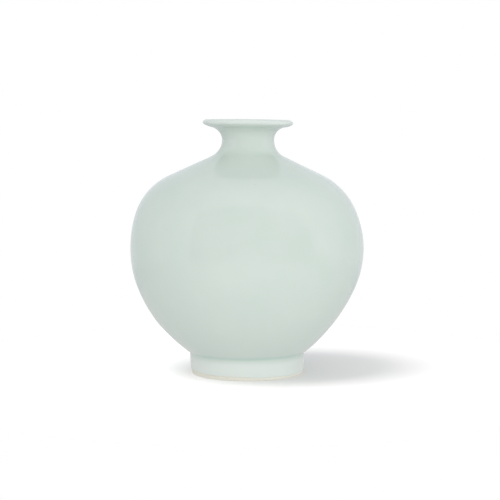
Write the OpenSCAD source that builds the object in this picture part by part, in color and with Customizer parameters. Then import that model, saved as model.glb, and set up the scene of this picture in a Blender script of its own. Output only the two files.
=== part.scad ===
// Celadon-glazed porcelain vase: a globe body on a turned foot, with a narrow neck and a flat flared mouth.
// Three thrown sections and a foot ring are luted together with slip, then glazed inside, outside and under
// the base. Everything is turned about the Z axis, and the foot ring stands on Z = 0. Millimetres throughout.

/* [Body] */
// Height of the whole vase
height = 200; // [198:1:204]
// Radius at the widest point of the belly
belly_r = 91.7; // [89:0.1:94]
// Height of the belly's widest point
belly_z = 98.5; // [96:0.5:101]
// Wall thickness with its glaze, which is also the thickness of the lip
wall = 5.2; // [4.4:0.2:6]

/* [Neck and mouth] */
// Radius at the neck's narrowest point
neck_r = 20.4; // [18:0.1:23]
// Height of the neck's narrowest point
neck_z = 183.4; // [182:0.1:185]
// Radius of the mouth's lip
rim_r = 35.5; // [33:0.5:38]
// How far the mouth's underside rises towards the lip, in degrees
mouth_rise = 16; // [12:1:18]

/* [Foot] */
// Radius of the foot's wall under the body
foot_r = 45.1; // [43:0.1:47]
// How much narrower the foot's wall is at its lower end
foot_taper = 0.7; // [0:0.1:1.5]
// Height at which the body spreads out from the foot
foot_h = 17.2; // [16.5:0.1:18]
// Radius of the hollow turned under the base
recess_r = 37; // [35:0.5:38]
// Height of the base above the ground
base_z = 12; // [11:0.5:12.5]
// Height of the glazed floor inside the vase
floor_z = 17; // [16.5:0.5:18]

/* [Glaze and slip] */
// Thickness of the glaze
glaze = 0.5; // [0.3:0.1:0.7]
// Height of the glaze's wiped edge on the foot
glaze_line = 3.2; // [2.4:0.2:4]
// Thickness of the slip in the luted seams
slip = 0.4; // [0.2:0.1:0.6]
// Height of the seam round the belly
belly_seam_z = 102; // [101.5:0.5:106]

/* [Hidden] */
$fn = 180;

// The outline from the foot to the lip is a chain of tangent arcs. The angles are those of the outward
// normal, up from the horizontal, where one arc hands over to the next.
foot_fillet = 2.5;
low_slope = -53;
low_turn = -22.5;
crown_turn = 20.5;
shoulder_slope = 65;
crown_arc = 82;
shoulder_arc = 52;

// How deep the luting groove is, and how far the seam on the shoulder lies from the neck's curve
groove = 1.2;
neck_seam_gap = 5;
// Rounding of the foot's bearing edge, and the slip wiped into the corner under the base
foot_edge = 1.2;
base_corner = 2;
// Beyond every surface, for the shapes that cut or clip
far = 240;
clear = 3;

function dir(angle) = [cos(angle), sin(angle)];
// The radii of two arcs that turn from 0 to angle a and on to angle b and climb by [dr, dz] in all
function arc_pair(a, b, dr, dz) =
    let(r1 = 1 - cos(a), z1 = sin(a), r2 = cos(a) - cos(b), z2 = sin(b) - sin(a))
    [dr * z2 - r2 * dz, r1 * dz - z1 * dr] / (r1 * z2 - r2 * z1);

// Below the belly: two rounded arcs down to the foot
low_start = [foot_r + foot_fillet * (1 - cos(low_slope)), foot_h];
low_arcs = arc_pair(-low_turn, -low_slope, belly_r - low_start[0], belly_z - low_start[1]);
belly_c = [belly_r - low_arcs[0], belly_z];
low_c = belly_c + (low_arcs[0] - low_arcs[1]) * dir(low_turn);
foot_c = low_start + foot_fillet * dir(low_slope);

// Above the belly: crown, shoulder, a straight slope, then the hollow curve into the neck
crown_c = [belly_r - crown_arc, belly_z];
shoulder_c = crown_c + (crown_arc - shoulder_arc) * dir(crown_turn);
shoulder_end = shoulder_c + shoulder_arc * dir(shoulder_slope);
neck_arc = ((neck_z - shoulder_end[1]) * sin(shoulder_slope) - (shoulder_end[0] - neck_r) * cos(shoulder_slope))
    / (1 - cos(shoulder_slope));
neck_c = [neck_r + neck_arc, neck_z];

// The mouth's hollow curve runs straight out to a lip that is rounded right over
lip_r = wall / 2;
lip_c = [rim_r - lip_r, height - lip_r];
lip_down = dir(mouth_rise - 90);
mouth_arc = (cos(mouth_rise) * (lip_c[1] - neck_z) - sin(mouth_rise) * (lip_c[0] - neck_r) - lip_r)
    / (1 - sin(mouth_rise));
mouth_c = [neck_r + mouth_arc, neck_z];

// Inside, the lower arc rounds into a flat floor
floor_arc = (foot_h + wall - floor_z) / (1 - sin(-low_slope));
floor_c = low_start - floor_arc * dir(low_slope);

// Each arc is [centre, radius, first angle, last angle], and a hollow arc has a minus radius
BODY_ARCS = [
    [low_c, low_arcs[1], low_slope, low_turn],
    [belly_c, low_arcs[0], low_turn, 0],
    [crown_c, crown_arc, 0, crown_turn],
    [shoulder_c, shoulder_arc, crown_turn, shoulder_slope],
    [neck_c, -neck_arc, shoulder_slope, 0],
    [mouth_c, -mouth_arc, 0, mouth_rise - 90]];
OUTSIDE_ARCS = concat([[foot_c, -foot_fillet, 0, low_slope]], BODY_ARCS);
CAVITY_ARCS = concat([[floor_c, floor_arc, -90, low_slope]], BODY_ARCS);

// The two ends of an arc, set in from the surface by depth
function arc_ends(arc, depth) = [for (angle = [arc[2], arc[3]]) arc[0] + (arc[1] - depth) * dir(angle)];

// The round slice between an arc and its chord
module arc_slice(arc, depth) {
    ends = arc_ends(arc, depth);
    out = sign(arc[1]) * 30 * dir((arc[2] + arc[3]) / 2);
    intersection() {
        translate(arc[0]) circle(abs(arc[1] - depth));
        polygon([ends[0], ends[1], ends[1] + out, ends[0] + out]);
    }
}

// A filled outline: the arcs' chords between a first and a last run of points, with every slice added or taken
module arc_outline(arcs, depth, first, last) {
    difference() {
        union() {
            polygon(concat(first, [for (arc = arcs) each arc_ends(arc, depth)], last));
            for (arc = arcs) if (arc[1] > 0) arc_slice(arc, depth);
        }
        for (arc = arcs) if (arc[1] < 0) arc_slice(arc, depth);
    }
}

// All that the vase's outer surface encloses, set in by depth, with the lip rounded over
module outside(depth) {
    lip = lip_r - depth;
    under_lip = lip_c + lip * lip_down;
    over_lip = lip_c - lip * lip_down;
    arc_outline(OUTSIDE_ARCS, depth, [[0, 0], [foot_r - foot_taper - depth, 0]],
        [under_lip, over_lip, [0, over_lip[1]]]);
    arc_slice([lip_c, lip, mouth_rise - 90, mouth_rise + 90], 0);
}

// The hollow inside, grown by depth beyond its glazed surface, and open at the top
module cavity(depth) {
    inset = wall - depth;
    over_lip = lip_c + (lip_r - inset) * lip_down;
    arc_outline(CAVITY_ARCS, inset, [[0, floor_z - depth]], [over_lip, [over_lip[0], far], [0, far]]);
}

// The hollow under the base, grown by depth beyond its glazed surface
module recess(depth) {
    r = recess_r - glaze + depth;
    z = base_z - glaze + depth;
    corner = base_corner + (glaze - depth) * tan(22.5);
    polygon([[0, -clear], [r, -clear], [r, z - corner], [r - corner, z], [0, z]]);
}

// A seam through the wall: the point on the surface, its normal, the way up the wall, how deep the groove's
// middle lies, and which way it points. Both faces of a seam are this path, a slip's thickness apart.
belly_seam = [[belly_r, belly_seam_z], dir(0), dir(90), wall / 2, -groove];
neck_seam = [neck_c - neck_arc * dir(shoulder_slope) + neck_seam_gap * dir(shoulder_slope - 90),
             dir(shoulder_slope), dir(shoulder_slope + 90), wall / 2, -groove];
foot_seam = [[foot_r, base_z - slip], dir(0), dir(90), (foot_r - recess_r) / 2, groove];

function seam_path(seam, lift) =
    [for (step = [[-clear, 0], [seam[3] - groove, 0], [seam[3], seam[4]], [seam[3] + groove, 0],
                  [2 * seam[3] + clear, 0]])
        seam[0] - step[0] * seam[1] + (step[1] + lift) * seam[2]];

module above(seam, lift) {
    path = seam_path(seam, lift);
    polygon(concat(path, [[0, path[4][1]], [0, far], [far, far], [far, path[0][1]]]));
}

module below(seam, lift) {
    path = seam_path(seam, lift);
    polygon(concat(path, [[0, path[4][1]], [0, 0], [far, 0], [far, path[0][1]]]));
}

// The clay without its glaze, and the part of it between the faces of one seam
module clay() {
    difference() {
        outside(glaze);
        cavity(glaze);
    }
}

module seam_slip(seam) {
    intersection() {
        clay();
        above(seam, 0);
        below(seam, slip);
    }
}

// The thrown foot ring, rounded where it bears on the ground and left bare there
module foot_ring() {
    edge_r = foot_r - foot_taper - glaze;
    color("#ddd8c6") rotate_extrude() difference() {
        intersection() {
            clay();
            below(foot_seam, 0);
        }
        square([recess_r, base_z]);
        for (side = [[edge_r, 1], [recess_r, -1]]) difference() {
            translate([side[0] - side[1] * foot_edge / 2, 0]) square([2 * foot_edge, 2 * foot_edge], center = true);
            translate([side[0] - side[1] * foot_edge, foot_edge]) circle(foot_edge);
            translate([side[0] - side[1] * far / 2, foot_edge]) square([far - 2 * foot_edge, far], center = true);
        }
    }
}

// Slip in the seam over the foot ring, wiped into the corner under the base
module foot_slip() {
    color("#e6e1d2") rotate_extrude() {
        difference() {
            seam_slip(foot_seam);
            square([recess_r, base_z]);
        }
        polygon([[recess_r, base_z - base_corner], [recess_r, base_z], [recess_r - base_corner, base_z]]);
    }
}

// The lower half of the globe, thrown with its floor
module lower_body() {
    color("#f1efe8") rotate_extrude() intersection() {
        clay();
        above(foot_seam, slip);
        below(belly_seam, 0);
    }
}

module belly_slip() color("#e6e1d2") rotate_extrude() seam_slip(belly_seam);

// The upper half of the globe, thrown upside down and closed in to the shoulder
module upper_body() {
    color("#f1efe8") rotate_extrude() intersection() {
        clay();
        above(belly_seam, slip);
        below(neck_seam, 0);
    }
}

module neck_slip() color("#e6e1d2") rotate_extrude() seam_slip(neck_seam);

// The neck, thrown in one with the flared mouth
module neck() {
    color("#f1efe8") rotate_extrude() intersection() {
        clay();
        above(neck_seam, slip);
    }
}

// The celadon glaze outside, which runs over the lip and down the throat to the neck's narrowest point
module outer_glaze() {
    color("#cfe0d5") rotate_extrude() difference() {
        outside(0);
        clay();
        square([far, glaze_line]);
        intersection() {
            cavity(glaze);
            square([far, neck_z]);
        }
        cavity(0);
    }
}

// The celadon glaze poured inside
module inner_glaze() {
    color("#d5e3da") rotate_extrude() intersection() {
        difference() {
            cavity(glaze);
            cavity(0);
        }
        square([far, neck_z]);
    }
}

// The glaze in the hollow under the base
module base_glaze() {
    color("#d2e2d8") rotate_extrude() difference() {
        recess(glaze);
        recess(0);
        translate([0, -clear]) square([far, clear + glaze_line]);
    }
}

foot_ring();
foot_slip();
lower_body();
belly_slip();
upper_body();
neck_slip();
neck();
outer_glaze();
inner_glaze();
base_glaze();
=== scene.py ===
import math

import bmesh
import bpy
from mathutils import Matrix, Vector, noise


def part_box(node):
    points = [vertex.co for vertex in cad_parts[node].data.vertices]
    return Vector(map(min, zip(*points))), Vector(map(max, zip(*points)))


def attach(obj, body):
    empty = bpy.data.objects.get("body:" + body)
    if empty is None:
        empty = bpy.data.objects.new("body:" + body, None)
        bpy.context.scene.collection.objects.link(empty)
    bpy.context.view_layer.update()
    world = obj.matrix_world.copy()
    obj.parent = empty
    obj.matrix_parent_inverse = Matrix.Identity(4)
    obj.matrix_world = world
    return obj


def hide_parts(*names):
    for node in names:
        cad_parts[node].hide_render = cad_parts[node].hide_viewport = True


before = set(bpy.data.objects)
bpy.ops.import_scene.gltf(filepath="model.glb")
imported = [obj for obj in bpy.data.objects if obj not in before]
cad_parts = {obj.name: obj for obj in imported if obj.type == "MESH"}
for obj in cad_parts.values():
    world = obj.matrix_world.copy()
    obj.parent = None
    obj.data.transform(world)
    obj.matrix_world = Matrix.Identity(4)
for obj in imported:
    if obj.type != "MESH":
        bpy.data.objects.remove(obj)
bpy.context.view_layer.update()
mm = 0.001


# --- Camera ----------------------------------------------------------------------------------------
# A long lens a little over a metre away, level with the lip and tipped down by five degrees to the
# middle of the vase, so that the mouth shows as a thin edge.
aim = Vector((2.35 * mm, 0, 97 * mm))
eye = aim + Vector((0, -1200, 105)) * mm
camera = bpy.data.objects.new("camera", bpy.data.cameras.new("camera"))
camera.data.lens = 110.1
camera.data.sensor_width = 36
camera.data.clip_start = 0.05
camera.location = eye
camera.rotation_mode = "QUATERNION"
camera.rotation_quaternion = (aim - eye).to_track_quat("-Z", "Y")
bpy.context.scene.collection.objects.link(camera)
bpy.context.scene.camera = camera
bpy.context.scene.view_settings.view_transform = "Standard"


# --- Table -----------------------------------------------------------------------------------------
# A matt white acrylic table. The camera sees its white top with the vase's shadow. To every other ray it
# is an even pale glow, without the shadow that a real table would show to the vase.
def new_material(name):
    material = bpy.data.materials.new(name)
    material.use_nodes = True
    return material


def new_node(tree, kind, inputs=None, **options):
    """A new node of a node tree. Its inputs are given as values or as the sockets they come from."""
    node = tree.nodes.new("ShaderNode" + kind)
    for option, value in options.items():
        setattr(node, option, value)
    for socket, value in (inputs or {}).items():
        if isinstance(value, bpy.types.NodeSocket):
            tree.links.new(value, node.inputs[socket])
        else:
            node.inputs[socket].default_value = value
    return node


white_acrylic = new_material("white_acrylic")
acrylic = white_acrylic.node_tree
table_shown = new_node(acrylic, "BsdfDiffuse", {"Color": (0.93, 0.91, 0.91, 1)})
table_glow = new_node(acrylic, "Emission", {"Color": (1, 1, 1, 1), "Strength": 0.72})
looked_at = new_node(acrylic, "LightPath").outputs["Is Camera Ray"]
table_top = new_node(acrylic, "MixShader", {0: looked_at, 1: table_glow.outputs[0],
                                            2: table_shown.outputs[0]})
acrylic.links.new(table_top.outputs[0], acrylic.nodes["Material Output"].inputs["Surface"])

table_form = bmesh.new()
bmesh.ops.create_circle(table_form, cap_ends=True, segments=128, radius=0.27)
table_mesh = bpy.data.meshes.new("table")
table_form.to_mesh(table_mesh)
table_form.free()
table_mesh.materials.append(white_acrylic)
table = bpy.data.objects.new("table", table_mesh)
bpy.context.scene.collection.objects.link(table)


# --- Studio light ----------------------------------------------------------------------------------
# A white tent of softboxes, left, right, overhead and behind, with a dimmer gap in front for the camera.
# Four lamps that the glaze doesn't mirror fill it from the front, and one throws the table's shadow.
studio = bpy.data.worlds.new("studio")
studio.use_nodes = True
bpy.context.scene.world = studio
tent = studio.node_tree
toward = new_node(tent, "TexCoord").outputs["Generated"]
side, depth, up = new_node(tent, "SeparateXYZ", {0: toward}).outputs


def past_edge(normal, soft=0.015):
    """1 past the plane of a softbox's edge and 0 in the gap, seen from the vase."""
    lean = new_node(tent, "VectorMath", {0: toward, 1: normal}, operation="DOT_PRODUCT")
    return new_node(tent, "MapRange", {"Value": lean.outputs["Value"], "From Min": -soft, "From Max": soft},
                    interpolation_type="SMOOTHSTEP").outputs[0]


def sum_up(start, *terms):
    """Adds sockets, each times a number, to a start."""
    for socket, amount in terms:
        start = new_node(tent, "Math", {0: socket, 1: amount, 2: start}, operation="MULTIPLY_ADD").outputs[0]
    return start


def beyond_zero(socket, sign=1):
    """A socket's value times a sign, or 0 where that is below 0."""
    signed = new_node(tent, "Math", {0: socket, 1: sign}, operation="MULTIPLY").outputs[0]
    return new_node(tent, "Math", {0: signed, 1: 0.0}, operation="MAXIMUM").outputs[0]


# Brightness of the tent's cloth, and how much of it is lost towards each side.
cloth = 1.03
right_loss, left_loss, back_loss, top_loss = 0.22, 0.2, 0.11, 0.19
gap_glow = 0.19
below_table = 0.66
left_edge, right_edge, top_edge = (math.radians(angle) for angle in (57, 67, 60))
left_box = past_edge((-math.cos(left_edge), math.sin(left_edge), 0))
right_box = past_edge((math.cos(right_edge), math.sin(right_edge), 0))
top_box = past_edge((0, math.sin(top_edge), math.cos(top_edge)))
boxes = new_node(tent, "Math", {0: left_box, 1: right_box}, operation="MAXIMUM").outputs[0]
boxes = new_node(tent, "Math", {0: boxes, 1: top_box}, operation="MAXIMUM").outputs[0]
overhead = new_node(tent, "Math", {0: beyond_zero(up), 1: 2.0}, operation="POWER").outputs[0]
walls = sum_up(cloth, (beyond_zero(side), -right_loss), (beyond_zero(side, -1), -left_loss),
               (beyond_zero(depth), -back_loss), (overhead, -top_loss))
inside_tent = new_node(tent, "Mix", {0: boxes, 2: gap_glow, 3: walls}).outputs[0]
above_table = new_node(tent, "MapRange", {"Value": up, "From Min": -0.25, "From Max": -0.1},
                       interpolation_type="SMOOTHSTEP").outputs[0]
brightness = new_node(tent, "Mix", {0: above_table, 2: below_table, 3: inside_tent}).outputs[0]
tent_light = tent.nodes["Background"]
cool_back = new_node(tent, "MapRange", {"Value": depth, "From Min": -0.1, "From Max": 0.6})
tent_tint = new_node(tent, "MixRGB", {"Fac": cool_back.outputs[0], "Color1": (1, 1, 1, 1),
                                      "Color2": (0.95, 0.985, 1.03, 1)})
tent.links.new(tent_tint.outputs[0], tent_light.inputs["Color"])
tent.links.new(brightness, tent_light.inputs["Strength"])
tent_white = new_node(tent, "Background", {"Color": (1, 1, 1, 1)})
tent_looked_at = new_node(tent, "LightPath").outputs["Is Camera Ray"]
tent_shown = new_node(tent, "MixShader", {0: tent_looked_at, 1: tent_light.outputs[0],
                                          2: tent_white.outputs[0]})
tent.links.new(tent_shown.outputs[0], tent.nodes["World Output"].inputs["Surface"])


def lamp(name, across, upward, spread, power):
    """A far soft lamp, across degrees to the right of the camera and upward degrees above the table."""
    light = bpy.data.lights.new(name, "SUN")
    light.angle = math.radians(spread)
    light.energy = power
    softlight = bpy.data.objects.new(name, light)
    across, upward = math.radians(across), math.radians(upward)
    toward_lamp = Vector((math.sin(across) * math.cos(upward), -math.cos(across) * math.cos(upward),
                          math.sin(upward)))
    softlight.rotation_mode = "QUATERNION"
    softlight.rotation_quaternion = toward_lamp.to_track_quat("Z", "Y")
    softlight.visible_glossy = False
    bpy.context.scene.collection.objects.link(softlight)
    return softlight


lamp("fill_low", 0, 2, 30, 0.58)
lamp("fill_front", 0, 26, 60, 0.87)
lamp("fill_right", 50, 7, 60, 0.57)
lamp("fill_left", -50, 10, 60, 0.17)
table_key = lamp("table_key", -60, 58, 40, 1.9)
table_only = bpy.data.collections.new("table_only")
table_only.objects.link(table)
table_key.light_linking.receiver_collection = table_only


# --- Foot ring -------------------------------------------------------------------------------------
# A ring of porcelain turned on the wheel and luted under the body. Its lower edge is wiped free of
# glaze, so that it won't stick to the kiln shelf, and fires to a bare cream with a faint grit.
foot_r = 45.1 * mm
foot_h = 17.2 * mm
foot_taper = 0.7 * mm
foot_fillet = 2.5 * mm
low_slope = math.radians(-53)
foot_wall_top = foot_h + foot_fillet * math.sin(low_slope)
foot_edge = 1.2 * mm
recess_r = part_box("base_glaze")[1].x
base_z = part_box("base_glaze")[1].z
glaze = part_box("outer_glaze")[1].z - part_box("neck")[1].z
turns = 256


def foot_wall(z, depth=0):
    """The radius of the foot's tapered wall at a height, set in by depth."""
    return foot_r - foot_taper * (1 - z / foot_wall_top) - depth


def direction(angle):
    """The way out from an arc's centre at an angle."""
    return Vector((math.cos(angle), math.sin(angle)))


def arc(centre, radius, start, end, count):
    """Points round an arc, from one angle to another in degrees."""
    return [centre + radius * direction(math.radians(start + (end - start) * i / count))
            for i in range(count + 1)]


def smooth(low, high, value):
    """0 below low, 1 above high, and an even swing between them."""
    t = min(1, max(0, (value - low) / (high - low)))
    return t * t * (3 - 2 * t)


def spun(name, outline):
    """A closed outline of (radius, height) points spun once round the wheel's axis."""
    form = bmesh.new()
    start = [form.verts.new((point.x, 0, point.y)) for point in outline]
    sides = [form.edges.new(pair) for pair in zip(start, start[1:] + start[:1])]
    bmesh.ops.spin(form, geom=start + sides, axis=(0, 0, 1), angle=math.tau, steps=turns, use_merge=True)
    bmesh.ops.remove_doubles(form, verts=form.verts, dist=0.001 * mm)
    bmesh.ops.recalc_face_normals(form, faces=form.faces)
    mesh = bpy.data.meshes.new(name)
    form.to_mesh(mesh)
    form.free()
    return mesh


def fit(mesh, node, material):
    """Puts a finished mesh in the place of its CAD node."""
    mesh.shade_smooth()
    mesh.set_sharp_from_angle(angle=math.radians(50))
    mesh.materials.clear()
    mesh.materials.append(material)
    piece = bpy.data.objects.new(mesh.name, mesh)
    bpy.context.scene.collection.objects.link(piece)
    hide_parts(node)
    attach(piece, "root")


def tones(tree, amount, *stops):
    """A colour ramp over an amount, from (position, colour) stops."""
    ramp = new_node(tree, "ValToRGB", {"Fac": amount})
    elements = ramp.color_ramp.elements
    for element, (position, colour) in zip(elements, (stops[0], stops[-1])):
        element.position = position
        element.color = colour
    for position, colour in stops[1:-1]:
        elements.new(position).color = colour
    return ramp


def finish(tree, colour, roughness, relief):
    """Joins colour, roughness and bump nodes to a material's shader, and gives back its sockets."""
    shader = tree.nodes["Principled BSDF"].inputs
    tree.links.new(colour.outputs[0], shader["Base Color"])
    tree.links.new(roughness.outputs[0], shader["Roughness"])
    tree.links.new(relief.outputs[0], shader["Normal"])
    return shader


bare_porcelain = new_material("bare_porcelain")
tree = bare_porcelain.node_tree
place = new_node(tree, "TexCoord").outputs["Object"]
grit = new_node(tree, "TexNoise", {"Vector": place, "Scale": 1600, "Detail": 4, "Roughness": 0.65})
clay_tone = tones(tree, grit.outputs["Fac"], (0.3, (0.74, 0.735, 0.64, 1)), (0.72, (0.84, 0.84, 0.76, 1)))
blotch = new_node(tree, "TexNoise", {"Vector": place, "Scale": 90, "Detail": 3})
level = new_node(tree, "SeparateXYZ", {0: place}).outputs["Z"]
flash = new_node(tree, "MapRange", {"Value": level, "From Min": 1.6 * mm, "From Max": 3.4 * mm,
                                    "To Max": 0.45}, interpolation_type="SMOOTHSTEP")
flash_patchy = new_node(tree, "Math", {0: flash.outputs[0], 1: blotch.outputs["Fac"]}, operation="MULTIPLY")
flashed = new_node(tree, "MixRGB", {"Fac": flash_patchy.outputs[0], "Color1": clay_tone.outputs[0],
                                    "Color2": (0.62, 0.50, 0.31, 1)})
speck = new_node(tree, "TexVoronoi", {"Vector": place, "Scale": 420})
speck_size = new_node(tree, "Math", {0: speck.outputs["Distance"], 1: 0.11}, operation="LESS_THAN")
speck_some = new_node(tree, "SeparateColor", {0: speck.outputs["Color"]})
speck_few = new_node(tree, "Math", {0: speck_some.outputs[0], 1: 0.86}, operation="GREATER_THAN")
speck_here = new_node(tree, "Math", {0: speck_size.outputs[0], 1: speck_few.outputs[0]},
                      operation="MULTIPLY")
speckled = new_node(tree, "MixRGB", {"Fac": speck_here.outputs[0], "Color1": flashed.outputs[0],
                                     "Color2": (0.34, 0.23, 0.13, 1)})
wheel_lines = new_node(tree, "TexWave", {"Vector": place, "Scale": 260, "Distortion": 1.2, "Detail": 2,
                                         "Detail Scale": 3}, wave_type="RINGS", rings_direction="Z")
grain_and_lines = new_node(tree, "Math", {0: wheel_lines.outputs["Fac"], 1: 0.35, 2: grit.outputs["Fac"]},
                           operation="MULTIPLY_ADD")
gritty = new_node(tree, "Bump", {"Height": grain_and_lines.outputs[0], "Strength": 1, "Distance": 0.05 * mm})
dry = new_node(tree, "MapRange", {"Value": grit.outputs["Fac"], "To Min": 0.72, "To Max": 0.9})
finish(tree, speckled, dry, gritty)["Specular IOR Level"].default_value = 0.35

# The ring's top carries a V tongue, which keys into a groove under the lower bowl.
ring_top = 11.6 * mm
tongue_r = 41.05 * mm
tongue_h = 1.2 * mm
tongue_inset = 2.2 * mm
foot_outline = [Vector((recess_r, z)) for z in (base_z - 2 * mm, 8 * mm, 6 * mm, 4 * mm, 2.2 * mm)]
foot_outline += arc(Vector((recess_r + foot_edge, foot_edge)), foot_edge, 180, 270, 8)
foot_outline += [Vector((recess_r + foot_edge + step * mm, 0)) for step in (1.5, 3)]
foot_outline += arc(Vector((foot_wall(0, glaze) - foot_edge, foot_edge)), foot_edge, -90, 0, 8)
foot_outline += [Vector((foot_wall(z, glaze), z)) for z in (2 * mm, 2.8 * mm, 4 * mm, 7 * mm, ring_top)]
foot_outline += [Vector((foot_wall(ring_top, glaze) - tongue_inset, ring_top)),
                 Vector((tongue_r, ring_top + tongue_h)), Vector((tongue_r - tongue_h, ring_top)),
                 Vector((recess_r, ring_top))]
fit(spun("turned_foot_ring", foot_outline), "foot_ring", bare_porcelain)


# --- Thrown sections and their slip ----------------------------------------------------------------
# The body is two thrown bowls luted rim to rim, with the neck luted on top. White porcelain, matt under
# its glaze, with the potter's finger lines in it, and a thin line of slip in each keyed seam.
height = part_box("outer_glaze")[1].z
neck_r = 20.4 * mm
neck_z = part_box("inner_glaze")[1].z
rim_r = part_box("neck")[1].x + glaze
# How far the form has wandered to the right at each height, both in millimetres.
drift = [(0, 0), (17, 0), (42, -0.9), (98, 0), (150, -1.1), (183, 0.85), (200, 0.75)]
mouth_sag = 1.0 * mm
wall = 5.2 * mm
nose = 4.6 * mm


def settled(point):
    """Where a point of the true turned form ends up. The walls drift off the wheel's axis as they are
    thrown and joined, the lip is drawn out to a nose, and one side of the mouth sags in the kiln."""
    aside = 0
    for (low, start), (top, end) in zip(drift, drift[1:]):
        if low * mm <= point.z <= top * mm:
            aside = (start + (end - start) * smooth(low, top, point.z / mm)) * mm
    reach = math.hypot(point.x, point.y)
    sag = max(0, point.x) / rim_r * smooth(neck_r, rim_r, reach)
    sag *= smooth(neck_z, neck_z + 6 * mm, point.z)
    lip = 1
    inward = max(0.01 * mm, rim_r - reach)
    if inward < nose and point.z > height - 2 * wall:
        lip = math.sqrt(1 - (1 - inward / nose) ** 2)
        if inward < wall / 2:
            lip *= wall / 2 / math.sqrt(wall * inward - inward ** 2)
    middle = height - wall / 2
    return Vector((point.x + aside, point.y, middle + (point.z - middle) * lip - mouth_sag * sag))


def settled_copy(name, node):
    """A merged copy of a CAD node's mesh, settled like the rest of the pot."""
    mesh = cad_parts[node].data.copy()
    mesh.name = name
    form = bmesh.new()
    form.from_mesh(mesh)
    bmesh.ops.remove_doubles(form, verts=form.verts, dist=0.0001 * mm)
    for vert in form.verts:
        vert.co = settled(vert.co)
    form.to_mesh(mesh)
    form.free()
    return mesh


white_porcelain = new_material("white_porcelain")
tree = white_porcelain.node_tree
place = new_node(tree, "TexCoord").outputs["Object"]
body_grain = new_node(tree, "TexNoise", {"Vector": place, "Scale": 900, "Detail": 4})
body_tone = tones(tree, body_grain.outputs["Fac"], (0, (0.84, 0.83, 0.79, 1)), (1, (0.91, 0.90, 0.87, 1)))
finger_lines = new_node(tree, "TexWave", {"Vector": place, "Scale": 35, "Distortion": 2, "Detail": 2,
                                          "Detail Scale": 2}, bands_direction="Z")
finger_bump = new_node(tree, "Bump", {"Height": finger_lines.outputs["Fac"], "Distance": 0.08 * mm})
body_dry = new_node(tree, "MapRange", {"Value": body_grain.outputs["Fac"], "To Min": 0.5, "To Max": 0.7})
finish(tree, body_tone, body_dry, finger_bump)

fired_slip = new_material("fired_slip")
tree = fired_slip.node_tree
place = new_node(tree, "TexCoord").outputs["Object"]
brush_marks = new_node(tree, "Mapping", {"Vector": place, "Scale": (1, 1, 5)})
slip_grain = new_node(tree, "TexNoise", {"Vector": brush_marks.outputs[0], "Scale": 260, "Detail": 5})
slip_tone = tones(tree, slip_grain.outputs["Fac"], (0, (0.78, 0.76, 0.68, 1)), (1, (0.88, 0.86, 0.79, 1)))
slip_bump = new_node(tree, "Bump", {"Height": slip_grain.outputs["Fac"], "Distance": 0.1 * mm})
slip_dry = new_node(tree, "MapRange", {"Value": slip_grain.outputs["Fac"], "To Min": 0.7, "To Max": 0.9})
finish(tree, slip_tone, slip_dry, slip_bump)

fit(settled_copy("foot_seam_slip", "foot_slip"), "foot_slip", fired_slip)
fit(settled_copy("lower_bowl", "lower_body"), "lower_body", white_porcelain)
fit(settled_copy("belly_seam_slip", "belly_slip"), "belly_slip", fired_slip)
fit(settled_copy("upper_bowl", "upper_body"), "upper_body", white_porcelain)
fit(settled_copy("neck_seam_slip", "neck_slip"), "neck_slip", fired_slip)
fit(settled_copy("thrown_neck", "neck"), "neck", white_porcelain)


# --- Glaze outside ---------------------------------------------------------------------------------
# The vase is dipped in a pale celadon, which melts to half a millimetre of glass. It thins to white on the
# lip, lies thinner on the foot, and ends in a soft roll above the bare clay. The paler neck is painted light,
# and the paler foot is partly thin glaze and partly painted light.
belly_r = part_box("outer_glaze")[1].x
glaze_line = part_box("outer_glaze")[0].z
belly_z = 98.5 * mm
lip_r = wall / 2
crown_arc = 82 * mm
shoulder_arc = 52 * mm
low_turn, crown_turn, shoulder_slope = (math.radians(angle) for angle in (-22.5, 20.5, 65))
mouth_rise = math.radians(16)
quarter = math.pi / 2

low_start = Vector((foot_r + foot_fillet * (1 - math.cos(low_slope)), foot_h))
foot_c = low_start + foot_fillet * direction(low_slope)
# The two arcs below the belly turn from upright to low_turn and on to low_slope, down to the foot.
first_way = Vector((1 - math.cos(low_turn), -math.sin(low_turn)))
second_way = Vector((math.cos(low_turn) - math.cos(low_slope), math.sin(low_turn) - math.sin(low_slope)))
rise = Vector((belly_r, belly_z)) - low_start
belly_arc = rise.cross(second_way) / first_way.cross(second_way)
low_arc = first_way.cross(rise) / first_way.cross(second_way)
belly_c = Vector((belly_r - belly_arc, belly_z))
low_c = belly_c + (belly_arc - low_arc) * direction(low_turn)
crown_c = Vector((belly_r - crown_arc, belly_z))
shoulder_c = crown_c + (crown_arc - shoulder_arc) * direction(crown_turn)
shoulder_end = shoulder_c + shoulder_arc * direction(shoulder_slope)
neck_arc = ((neck_z - shoulder_end.y) * math.sin(shoulder_slope)
            - (shoulder_end.x - neck_r) * math.cos(shoulder_slope)) / (1 - math.cos(shoulder_slope))
neck_c = Vector((neck_r + neck_arc, neck_z))
lip_c = Vector((rim_r - lip_r, height - lip_r))
mouth_arc = (math.cos(mouth_rise) * (lip_c.y - neck_z) - math.sin(mouth_rise) * (lip_c.x - neck_r)
             - lip_r) / (1 - math.sin(mouth_rise))
mouth_c = Vector((neck_r + mouth_arc, neck_z))
body_arcs = [
    (low_c, low_arc, low_slope, low_turn),
    (belly_c, belly_arc, low_turn, 0),
    (crown_c, crown_arc, 0, crown_turn),
    (shoulder_c, shoulder_arc, crown_turn, shoulder_slope),
    (neck_c, -neck_arc, shoulder_slope, 0),
    (mouth_c, -mouth_arc, 0, mouth_rise - quarter),
]


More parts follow.
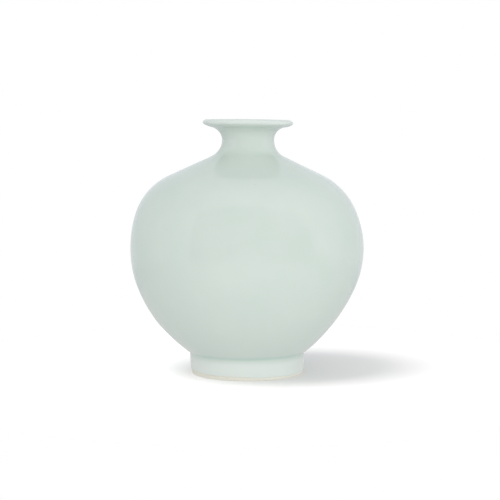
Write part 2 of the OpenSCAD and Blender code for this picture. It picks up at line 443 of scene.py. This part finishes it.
def profile(arcs, depth, spacing):
    """Points along a chain of arcs that is set in by depth, no further apart than spacing. An arc is
    (centre, radius, first angle, last angle), and a hollow one has a minus radius."""
    points = []
    for centre, radius, start, end in arcs:
        count = max(3, math.ceil(abs((radius - depth) * (end - start)) / spacing))
        run = [centre + (radius - depth) * direction(start + (end - start) * i / count)
               for i in range(count + 1)]
        if points:
            steps = math.ceil((run[0] - points[-1]).length / spacing)
            run = [points[-1].lerp(run[0], i / steps) for i in range(1, steps)] + run
            if (run[0] - points[-1]).length < 0.01 * mm:
                run = run[1:]
        points += run
    return points


def outer_run(depth, spacing):
    """Outside, from over the foot's wall to the lip, over it, and down the throat."""
    arcs = [(foot_c, -foot_fillet, 0, low_slope)] + body_arcs
    lip = [(lip_c, lip_r, mouth_rise - quarter, mouth_rise + quarter)]
    down = profile(body_arcs[-1:], wall - depth, spacing)[::-1]
    return profile(arcs + lip, depth, spacing) + down[0 if depth else 1:]


def celadon(name, lines):
    """Celadon glass over white porcelain. Its depth is in the mesh as a point attribute: 0 on an edge where
    it runs thin, a half on the walls, and 1 where it pools. On the neck and the foot that value is also
    lowered as painted light, which paints them paler."""
    material = new_material(name)
    tree = material.node_tree
    place = new_node(tree, "TexCoord").outputs["Object"]
    depth = new_node(tree, "Attribute", attribute_name="glaze_depth_and_painted_light").outputs["Fac"]
    clouds = new_node(tree, "TexNoise", {"Vector": place, "Scale": 26, "Detail": 4, "Roughness": 0.55})
    cloudy = new_node(tree, "MapRange", {"Value": clouds.outputs["Fac"], "From Min": 0.3, "From Max": 0.7,
                                         "To Min": -0.09, "To Max": 0.09})
    # Painted light is in this value too: it is lowered on the neck and the foot to paint them paler.
    depth_and_painted_light_here = new_node(tree, "Math", {0: depth, 1: cloudy.outputs[0]}, operation="ADD")
    tone = tones(tree, depth_and_painted_light_here.outputs[0], (0, (0.74, 0.80, 0.76, 1)), (0.5, (0.638, 0.725, 0.671, 1)),
                 (1, (0.545, 0.69, 0.62, 1)))
    pit = new_node(tree, "TexVoronoi", {"Vector": place, "Scale": 150})
    pit_size = new_node(tree, "MapRange", {"Value": pit.outputs["Distance"], "From Min": 0.03,
                                           "From Max": 0.05, "To Min": 1, "To Max": 0})
    pit_some = new_node(tree, "SeparateColor", {0: pit.outputs["Color"]})
    pit_few = new_node(tree, "Math", {0: pit_some.outputs[0], 1: 0.93}, operation="GREATER_THAN")
    pit_here = new_node(tree, "Math", {0: pit_size.outputs[0], 1: pit_few.outputs[0]}, operation="MULTIPLY")
    pitted = new_node(tree, "MixRGB", {"Fac": pit_here.outputs[0], "Color1": tone.outputs[0],
                                       "Color2": (0.40, 0.43, 0.36, 1)})
    orange_peel = new_node(tree, "TexNoise", {"Vector": place, "Scale": 420, "Detail": 2})
    thrown = new_node(tree, "TexWave", {"Vector": place, "Scale": 34, "Distortion": 3, "Detail": 2,
                                        "Detail Scale": 1.5}, bands_direction="Z")
    peel_bump = new_node(tree, "Bump", {"Height": orange_peel.outputs["Fac"], "Distance": 0.006 * mm})
    lines_bump = new_node(tree, "Bump", {"Height": thrown.outputs["Fac"], "Distance": lines,
                                         "Normal": peel_bump.outputs[0]})
    melt = new_node(tree, "TexNoise", {"Vector": place, "Scale": 60, "Detail": 3})
    gloss = new_node(tree, "MapRange", {"Value": melt.outputs["Fac"], "From Min": 0.3, "From Max": 0.7,
                                        "To Min": 0.03, "To Max": 0.06})
    finish(tree, pitted, gloss, lines_bump)["IOR"].default_value = 1.5
    return material


def near(point, centre, size):
    """1 at the centre, and less with distance, over about the size."""
    return math.exp(-((point - centre).length / size) ** 2)


def glaze_depth_and_painted_light(point):
    """How deep the glaze lies at a point of the turned form, from 0 on an edge to 1 in a pool. On the neck
    and the foot it is lowered as painted light, to paint them paler.
    """
    at = Vector((math.hypot(point.x, point.y), point.z))
    at_lip = 0.5 * near(at, lip_c + lip_r * direction(0), 2.6 * mm)
    at_line = 0.3 * near(at, Vector((foot_r, glaze_line)), 1 * mm)
    # Painted light: the glaze on the neck is painted paler than its depth would make it.
    neck_painted_paler = 0.2 * smooth(neck_z - 12 * mm, neck_z, at.y)
    # The foot's glaze runs thinner, and it is painted paler still as painted light.
    foot_thin_and_painted_paler = 0.5 * (1 - smooth(11 * mm, 17 * mm, at.y))
    pool = 0.45 * near(at, low_start, 2.2 * mm)
    return min(1, max(0, 0.5 - at_lip - at_line - neck_painted_paler - foot_thin_and_painted_paler + pool))


def settle(mesh):
    """Settles a glaze mesh like the rest of the pot, and writes the glaze's depth into it, with the painted
    light that makes the neck and foot paler.
    """
    depth = mesh.attributes.new("glaze_depth_and_painted_light", "FLOAT", "POINT")
    for vert in mesh.vertices:
        depth.data[vert.index].value = glaze_depth_and_painted_light(vert.co)
        vert.co = settled(vert.co)
    return mesh


roll = Vector((foot_wall(glaze_line, glaze) + 0.12 * mm, glaze_line + 0.42 * mm))
edge = arc(roll, 0.48 * mm, -125, 30, 9)
swell = [Vector((foot_wall(z, -proud), z)) for z, proud in
         ((4.6 * mm, 0.05 * mm), (5.6 * mm, 0.02 * mm), (7 * mm, 0), (9 * mm, 0), (11 * mm, 0), (13 * mm, 0))]
hidden = [Vector((foot_wall(z, glaze), z)) for z in (5 * mm, 8 * mm, 11 * mm)]
skin = edge + swell + outer_run(0, 1.5 * mm) + (hidden + outer_run(glaze, 3 * mm))[::-1]
outer_coat = settle(spun("glaze_coat_outside", skin))
# The wiped line wanders a little as it goes round, and lies higher on the left.
line_wander = 0.35 * mm
line_tilt = 0.75 * mm
for vert in outer_coat.vertices:
    by_line = 1 - smooth(glaze_line + 0.8 * mm, glaze_line + 5 * mm, vert.co.z)
    if by_line:
        around = Vector((vert.co.x, vert.co.y, 0)).normalized()
        wander = noise.noise(around * 2.1) + 0.4 * noise.noise((around + Vector((0, 0, 4))) * 7)
        vert.co.z += (line_wander * (wander - 1) - line_tilt * around.x) * by_line
# One speck of iron has come through the glaze on the left of the belly.
celadon_outside = celadon("celadon_outside", 0.012 * mm)
tree = celadon_outside.node_tree
by_iron = Vector((-87.5, -27, 94)) * mm
iron_place = min((vert.co for vert in outer_coat.vertices), key=lambda at: (at - by_iron).length)
from_iron = new_node(tree, "VectorMath", {0: new_node(tree, "TexCoord").outputs["Object"], 1: iron_place},
                     operation="DISTANCE")
iron_fade = new_node(tree, "MapRange", {"Value": from_iron.outputs["Value"], "From Min": 0.3 * mm,
                                        "From Max": 0.8 * mm, "To Min": 0.8, "To Max": 0})
glaze_colour = tree.nodes["Principled BSDF"].inputs["Base Color"]
over_iron = glaze_colour.links[0].from_socket
iron_speck = new_node(tree, "MixRGB", {"Fac": iron_fade.outputs[0], "Color1": over_iron,
                                       "Color2": (0.25, 0.2, 0.14, 1)})
tree.links.new(iron_speck.outputs[0], glaze_colour)
fit(outer_coat, "outer_glaze", celadon_outside)


# --- Glaze inside ----------------------------------------------------------------------------------
# The same celadon, poured in and out again. It covers the thrown rings of the wall.
floor_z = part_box("inner_glaze")[0].z + glaze
floor_arc = (foot_h + wall - floor_z) / (1 - math.sin(-low_slope))
floor_c = low_start - floor_arc * direction(low_slope)
cavity_arcs = [(floor_c, floor_arc, -quarter, low_slope)] + body_arcs


def inner_run(depth, spacing):
    """Inside, from the middle of the floor to the neck's narrowest point."""
    rising = profile(cavity_arcs, wall - depth, spacing)
    across = [Vector((rising[0].x * i / 12, rising[0].y)) for i in range(12)]
    return across + [point for point in rising if point.y < neck_z + 0.001 * mm]


inside = inner_run(0, 1.6 * mm) + inner_run(glaze, 4 * mm)[::-1]
fit(settle(spun("glaze_coat_inside", inside)), "inner_glaze",
    celadon("celadon_inside", 0.05 * mm))


# --- Glaze under the base --------------------------------------------------------------------------
# The hollow turned under the base is glazed too, down to the bare foot. The same celadon, poured in and
# swilled round, gathers in its corner and ends in a soft roll.
base_corner = 2 * mm
hollow_r = recess_r - glaze
hollow_z = base_z - glaze
hollow = [Vector((hollow_r * i / 24, hollow_z)) for i in range(23)]
hollow += arc(Vector((hollow_r - base_corner, hollow_z - base_corner)), base_corner, 90, 0, 8)
hollow += [Vector((hollow_r, z * mm)) for z in (8, 6.5, 5, 4.2)]
hollow += arc(Vector((recess_r - 0.08 * mm, glaze_line + 0.4 * mm)), 0.46 * mm, 150, 250, 6)
hollow += [Vector((recess_r, z * mm)) for z in (5, 8)]
hollow += [Vector((recess_r, base_z - base_corner)), Vector((recess_r - base_corner, base_z)),
           Vector((recess_r / 2, base_z)), Vector((0, base_z))]
fit(settle(spun("glaze_coat_under_base", hollow)), "base_glaze",
    celadon("celadon_under_base", 0.02 * mm))
